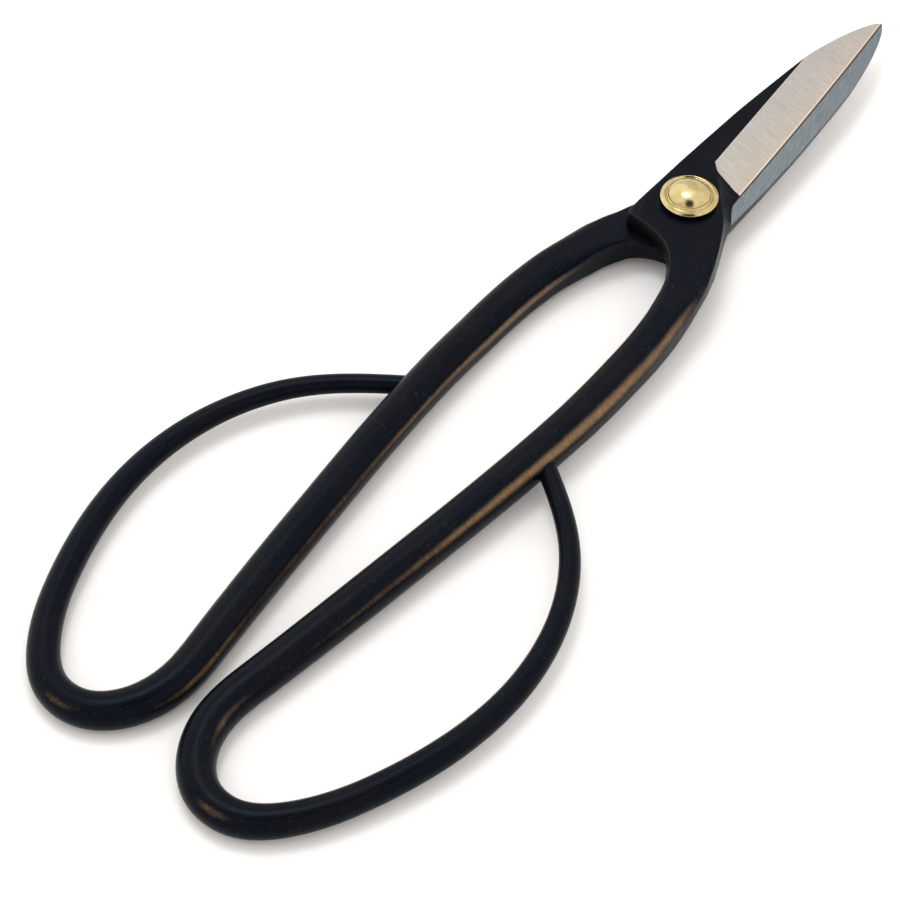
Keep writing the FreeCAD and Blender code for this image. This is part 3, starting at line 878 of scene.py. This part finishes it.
def black_oxide(finish, place, run):
    """Colour, roughness and bump height of the blackened forging."""
    cloud = finish.noise(place, 0.10, 4.0, 0.55)
    grain = finish.noise(place, 1.9, 5.0, 0.7)
    brushed = finish.noise(finish.vector("MULTIPLY", place, (2.6, 0.5, 1.2)), 1.0, 5.0, 0.7)
    lines = finish.noise(finish.vector("MULTIPLY", run, (0.22, 2.6, 1.0)), 0.9, 4.0, 0.65)
    flecks = finish.noise(finish.vector("MULTIPLY", run, (0.7, 2.2, 1.0)), 1.3, 4.0, 0.75)
    scuffs = finish.step(brushed, 0.60, 0.80)
    colour = finish.mix(finish.step(cloud, 0.42, 0.72) * 0.35, BLACK_OXIDE, BROWN_OXIDE)
    colour = finish.mix(finish.step(flecks, 0.59, 0.74) * 0.36, colour, OXIDE_FLECK)
    colour = finish.mix(scuffs * 0.22, colour, OXIDE_SCUFF)
    colour = finish.mix(finish.step(grain, 0.60, 0.80) * 0.12, colour, OXIDE_GRAIN)
    roughness = 0.15 + cloud * 0.10 + grain * 0.16 + lines * 0.06 - scuffs * 0.03
    height = grain * 0.45 + lines * 0.35 + brushed * 0.20
    return colour, roughness, height


def make_blackened_steel():
    """Oxide skin of boss, shank and bow, worn through to bronze and rubbed brown at the heel."""
    finish = Finish("blackened steel")
    place, run = finish.attribute("place", "Vector"), finish.attribute("run", "Vector")
    worn = finish.attribute("worn", "Fac")
    colour, roughness, height = black_oxide(finish, place, run)
    scratches = finish.noise(finish.vector("MULTIPLY", run, (6.5, 0.8, 1.0)), 1.0, 4.0, 0.65)
    patches = finish.noise(run, 0.35, 3.0, 0.6)
    uneven = (scratches - 0.5) * 0.35 + (patches - 0.5) * 0.35
    bare = finish.step(worn + uneven, 0.15, 1.15) * finish.step(worn, 0.04, 0.30)
    bronze = finish.mix(finish.step(scratches, 0.45, 0.75), BRONZE, BRONZE_PALE)
    colour = finish.mix(finish.clamp(bare), colour, bronze)
    rubbed = finish.attribute("rubbed", "Fac") * finish.step(patches, 0.25, 0.60)
    colour = finish.mix(finish.clamp(rubbed * 0.28), colour, HEEL_BROWN)
    finish.set(Base_Color=colour, Roughness=roughness + bare * 0.06, Metallic=bare * 0.6,
               Normal=finish.bump(height + scratches * bare * 0.8, 0.16, 0.0002))
    finish.oxide_sheen()


def make_blade_top():
    """Blade face: blackened flat, ground bevel, and painted highlights on the edge and the bevel's border.
    """
    finish = Finish("blade top")
    place, run = finish.attribute("place", "Vector"), finish.attribute("run", "Vector")
    x, y, z = finish.parts(place)
    black, black_rough, black_height = black_oxide(finish, place, run)
    border = border_line(x) - y
    edge = y - edge_line(x)
    ground = finish.step(border, -0.03, 0.03)
    lines = finish.noise(finish.join(x * 3.2 + y * 0.5, y * 0.30 - x * 0.05, z * 0.3), 1.0, 4.0, 0.7)
    fine = finish.noise(finish.join(x * 7.5 + y * 1.6, y * 0.8, z * 0.3), 1.0, 3.0, 0.7)
    broad = finish.noise(place, 0.13, 2.0, 0.5)
    warm = finish.step(edge, 5.5, 0.2) * 0.8 + broad * 0.2
    steel = finish.mix(warm, BEVEL_COOL, BEVEL_WARM)
    shade = (lines - 0.5) * 1.15 + (fine - 0.5) * 0.80 + (broad - 0.5) * 0.30
    steel = finish.mix(finish.clamp(0.5 + shade), finish.mix(0.55, steel, BEVEL_DARK),
                       finish.mix(0.25, steel, BEVEL_LIGHT))
    # painted highlights: a pale peach line along the cutting edge and one along the bevel's upper border
    keen_edge_and_highlight = finish.step(edge, 0.36, 0.26)
    border_highlight = finish.step(border, 0.22, 0.06)
    steel = finish.mix(finish.clamp(keen_edge_and_highlight * 0.40 + border_highlight * 0.28), steel, PAINTED_EDGE_HIGHLIGHT)
    bright_rough = 0.38 + (lines - 0.5) * 0.12 - keen_edge_and_highlight * 0.12
    height = black_height * (1 - ground) + (lines * 0.7 + fine * 0.3) * ground
    finish.set(Base_Color=finish.mix(ground, black, steel),
               Roughness=black_rough * (1 - ground) + ground * bright_rough,
               Metallic=ground * 0.95, Normal=finish.bump(height, 0.10, 0.00012))
    finish.oxide_sheen()


def make_blade_inside():
    """Flat inner face: blue-grey, ground on a slant, blackened towards the neck, with a painted shadow line
    beside the mate's edge.
    """
    finish = Finish("blade inside")
    place, run = finish.attribute("place", "Vector"), finish.attribute("run", "Vector")
    x, y, z = finish.parts(place)
    black, black_rough, black_height = black_oxide(finish, place, run)
    ground = finish.step(x + y * 0.2, 2.5, 5.0)
    lines = finish.noise(finish.join(x * 1.3 + y * 3.8, x * 0.22 - y * 0.07, z), 1.0, 4.0, 0.7)
    broad = finish.noise(place, 0.16, 3.0, 0.5)
    steel = finish.mix(broad, INSIDE_BLUE, INSIDE_GREY)
    steel = finish.mix(finish.step(lines, 0.42, 0.78) * 0.45, steel, INSIDE_LIGHT)
    steel = finish.mix(finish.step(lines, 0.55, 0.28) * 0.35, steel, INSIDE_DARK)
    # painted shadow: a thin dark line where the mate's cutting edge lies over this face when closed
    rest = y + edge_line(x)
    mate_edge_shadow = finish.step(rest, -0.05, 0.05) * finish.step(rest, 0.34, 0.16)
    steel = finish.mix(mate_edge_shadow * 0.85, steel, PAINTED_MATE_EDGE_SHADOW)
    finish.set(Base_Color=finish.mix(ground, black, steel),
               Roughness=black_rough * (1 - ground) + ground * (0.42 + (lines - 0.5) * 0.15),
               Metallic=ground * 0.90,
               Normal=finish.bump(black_height * (1 - ground) + lines * ground, 0.12, 0.00012))
    finish.oxide_sheen()


def make_brass():
    """Polished brass with faint turning marks and tarnish."""
    finish = Finish("polished brass")
    metres = finish.node("ShaderNodeTexCoord", {}, {}, output="Object")
    place = finish.vector("MULTIPLY", metres, (1000.0, 1000.0, 1000.0))
    flat = finish.vector("MULTIPLY", place, (1.0, 1.0, 0.0))
    radius = finish.node("ShaderNodeVectorMath", {"operation": "LENGTH"}, {0: flat}, output="Value")
    turning = finish.noise(finish.join(radius * 9.0, 0.0, 0.0), 1.0, 3.0, 0.7)
    cloud = finish.noise(place, 0.45, 4.0, 0.6)
    spots = finish.step(finish.noise(place, 2.6, 5.0, 0.7), 0.64, 0.78)
    colour = finish.mix(finish.step(cloud, 0.35, 0.7), BRASS_DEEP, BRASS_PALE)
    finish.set(Base_Color=finish.mix(spots * 0.25, colour, BRASS_SPOT), Metallic=1.0,
               Roughness=0.11 + cloud * 0.08 + turning * 0.05 + spots * 0.08,
               Normal=finish.bump(turning * 0.7 + cloud * 0.3, 0.06, 0.0001))


def make_stage_finish(name, grain, dark, light, roughness, gleam):
    """Plain finish of the floor or the card, with a faint grain of this scale and roughness."""
    finish = Finish(name)
    place = finish.node("ShaderNodeTexCoord", {}, {}, output="Object")
    cloth = finish.noise(place, grain[0], 3.0, grain[1])
    finish.set(Base_Color=finish.mix(cloth, dark, light), Roughness=roughness,
               Specular_IOR_Level=gleam)


make_blackened_steel()
make_blade_top()
make_blade_inside()
make_brass()
make_stage_finish("pale floor", (60.0, 0.5), FLOOR_DARK, FLOOR_LIGHT, 0.75, 0.15)
make_stage_finish("dark card", (90.0, 0.6), CARD_DARK, CARD_LIGHT, 0.9, 0.5)


# ---------------------------------------------------------------- the two halves

UPPER_STREAKS = [
    # outer side: a long bronze band along the turn from top to side
    (34.0, 22.0, -53.0, 17.0, 0.92),
    (62.0, 20.0, -51.0, 13.0, 0.80),
    (18.0, 7.0, -46.0, 9.0, 0.35),
    (92.0, 22.0, -54.0, 10.0, 0.34),
    # outer bend of the bow and the waist before it
    (140.5, 3.6, 38.0, 15.0, 0.50),
    (124.0, 7.0, -48.0, 12.0, 0.50),
]
LOWER_STREAKS = [
    # inner side: a bronze streak just under the top
    (27.0, 15.0, 108.0, 13.0, 1.10),
    (52.0, 20.0, 112.0, 8.5, 0.66),
    (88.0, 30.0, 116.0, 9.0, 0.50),
    (118.0, 9.0, 117.0, 10.0, 0.62),
    # outer bend of the bow
    (139.5, 3.6, 140.0, 15.0, 0.45),
]
build_half("upper_forging", "upper", "upper_half", False, UPPER_STREAKS)
build_half("lower_forging", "lower", "lower_half", True, LOWER_STREAKS)


# ---------------------------------------------------------------- washers and rivet

def smooth_profile(corners, setbacks, pieces=6):
    """Open profile with each inner corner rounded."""
    corners = [np.array([x, y, 0.0]) for x, y in corners]
    points = [corners[0]]
    for before, corner, after, setback in zip(corners, corners[1:], corners[2:], setbacks):
        start = corner + unit(before - corner) * setback
        end = corner + unit(after - corner) * setback
        points += list(rounded(start, corner, end, pieces))
    points.append(corners[-1])
    return [(float(x), float(y)) for x, y, _ in points]


BROW = WASHER_TOP - 0.28                    # height at which the dome leaves the washer
SEAT = WASHER_TOP - 0.60
RIM = WASHER_FOOT + 1.0


def washer_profile():
    """Dished washer on a small foot, with a turned groove round the rivet's head."""
    return smooth_profile(
        [(PIN_RADIUS, SEAT), (PIN_RADIUS, WASHER_FOOT), (WASHER_RADIUS - 1.50, WASHER_FOOT),
         (WASHER_RADIUS - 0.12, WASHER_FOOT + 0.72),
         (WASHER_RADIUS, RIM - 0.10), (WASHER_RADIUS - 0.38, RIM + 0.14),
         (4.52, BROW - 0.12), (4.20, BROW - 0.42), (3.94, BROW - 0.08),
         (HEAD_RADIUS + 0.14, BROW + 0.04), (HEAD_RADIUS + 0.05, BROW - 0.16),
         (HEAD_RADIUS + 0.01, SEAT), (PIN_RADIUS, SEAT)],
        (0.05, 0.10, 0.15, 0.14, 0.18, 0.12, 0.06, 0.06, 0.07, 0.05, 0.03))[:-1]


def rivet_profile():
    """Rivet from its flat lower end to the top of its dome."""
    mirror = 2 * CONTACT
    dome = HEAD_TOP - BROW
    crown = [(HEAD_RADIUS * math.cos(angle), HEAD_TOP - dome * math.cos(angle) ** 2.7)
             for angle in np.linspace(0.0, math.pi / 2, 28)]
    crown[-1] = (0.0, HEAD_TOP)
    low_seat, low_brow = mirror - SEAT, mirror - BROW
    shank = smooth_profile(
        [(0.0, 0.0), (2.2, 0.0), (HEAD_RADIUS, low_brow), (HEAD_RADIUS, low_seat), (PIN_RADIUS, low_seat),
         (PIN_RADIUS, SEAT), (HEAD_RADIUS, SEAT), crown[0]],
        (0.25, 0.08, 0.05, 0.04, 0.04, 0.05))
    return shank[:-1] + crown


flipped = [(radius, 2 * CONTACT - height) for radius, height in washer_profile()][::-1]
build_turned("top_brass_washer", washer_profile(), "top_washer")
build_turned("bottom_brass_washer", flipped, "bottom_washer")
build_turned("brass_rivet", rivet_profile(), "pivot_rivet")


# ---------------------------------------------------------------- floor, light and camera

BOW_REST = CONTACT - 2.95                   # underside of the bows' far ends
TILT = math.atan2(BOW_REST, BOW_REACH)
FLOOR_RADIUS = 3.0
FLOOR_DROP = -0.03 * MM                     # the floor doesn't quite touch the rivet's foot


def build_floor():
    """Large pale disc, tilted to lie just under the rivet's foot and the far ends of the bows."""
    rows, segments = 24, 96
    vertices = [(0.0, 0.0, 0.0)]
    for row in range(1, rows + 1):
        radius = FLOOR_RADIUS * (row / rows) ** 2
        vertices += [(radius * math.cos(angle), radius * math.sin(angle), 0.0)
                     for angle in np.linspace(0.0, 2 * math.pi, segments, endpoint=False)]
    faces = []
    for index in range(segments):
        following = (index + 1) % segments
        faces.append((0, 1 + index, 1 + following))
        for low in range(1, 1 + (rows - 1) * segments, segments):
            high = low + segments
            faces.append((low + index, high + index, high + following, low + following))
    mesh = bpy.data.meshes.new("floor")
    mesh.from_pydata(vertices, [], faces)
    mesh.shade_smooth()
    mesh.materials.append(FINISHES["pale floor"])
    floor = bpy.data.objects.new("floor", mesh)
    bpy.context.scene.collection.objects.link(floor)
    floor.rotation_euler = (0.0, TILT, 0.0)
    floor.location = (0.0, 0.0, FLOOR_DROP)


def aim(thing, target):
    heading = Vector(target) - thing.location
    thing.rotation_mode = "QUATERNION"
    thing.rotation_quaternion = heading.to_track_quat("-Z", "Y")


def add_softbox(name, side, back, high, size, power):
    """Square softbox aimed at the snips: how far to the side, behind and above them it hangs."""
    light = bpy.data.lights.new(name, "AREA")
    light.shape = "RECTANGLE"
    light.size, light.size_y = size, size
    light.energy = power
    lamp = bpy.data.objects.new(name, light)
    bpy.context.scene.collection.objects.link(lamp)
    lamp.location = MIDDLE + RIGHT * side + AWAY * back + Vector((0, 0, high))
    aim(lamp, MIDDLE)


MIDDLE = Vector((-0.04, 0.0, 0.0))
RIGHT, AWAY = Vector((0.620, -0.785, 0.0)), Vector((0.785, 0.620, 0.0))    # as the camera sees them
VIEW_POINT = Vector((-0.06839, -0.00033, CONTACT * MM))
VIEW_FROM = VIEW_POINT + Vector((-0.2074, -0.1639, 0.3264))


def add_camera():
    lens = bpy.data.cameras.new("camera")
    lens.sensor_width = 36.0
    lens.lens = 102.32
    lens.clip_start = 0.01
    camera = bpy.data.objects.new("camera", lens)
    bpy.context.scene.collection.objects.link(camera)
    camera.location = VIEW_FROM
    aim(camera, VIEW_POINT)
    bpy.context.scene.camera = camera


def add_world(strength):
    world = bpy.data.worlds.new("studio")
    world.use_nodes = True
    sky = world.node_tree.nodes["Background"]
    sky.inputs["Color"].default_value = (1.0, 0.96, 0.91, 1.0)
    sky.inputs["Strength"].default_value = strength
    bpy.context.scene.world = world


def add_dark_card():
    """Dark card beside the camera, seen only in reflections, such as the dark spot on the dome."""
    outline = [(-0.10, -0.09), (0.0, -0.12), (0.10, -0.09), (0.12, 0.0),
               (0.09, 0.10), (0.0, 0.13), (-0.09, 0.10), (-0.12, 0.0)]
    mesh = bpy.data.meshes.new("dark_card")
    mesh.from_pydata([(x, y, 0.0) for x, y in outline], [], [tuple(range(len(outline)))])
    mesh.materials.append(FINISHES["dark card"])
    card = bpy.data.objects.new("dark_card", mesh)
    bpy.context.scene.collection.objects.link(card)
    card.location = (-0.155, -0.125, 0.37)
    aim(card, (0.0, 0.0, 0.01))
    card.visible_camera = False
    card.visible_shadow = False
    card.visible_diffuse = False


build_floor()
add_dark_card()
add_camera()
add_world(1.08)
add_softbox("key", -0.55, 0.45, 0.75, 1.6, 4.0)
add_softbox("fill", 0.70, -0.10, 0.90, 1.8, 3.0)
add_softbox("top", -0.10, 0.20, 0.75, 0.26, 1.6)
bpy.context.scene.view_settings.view_transform = "Standard"
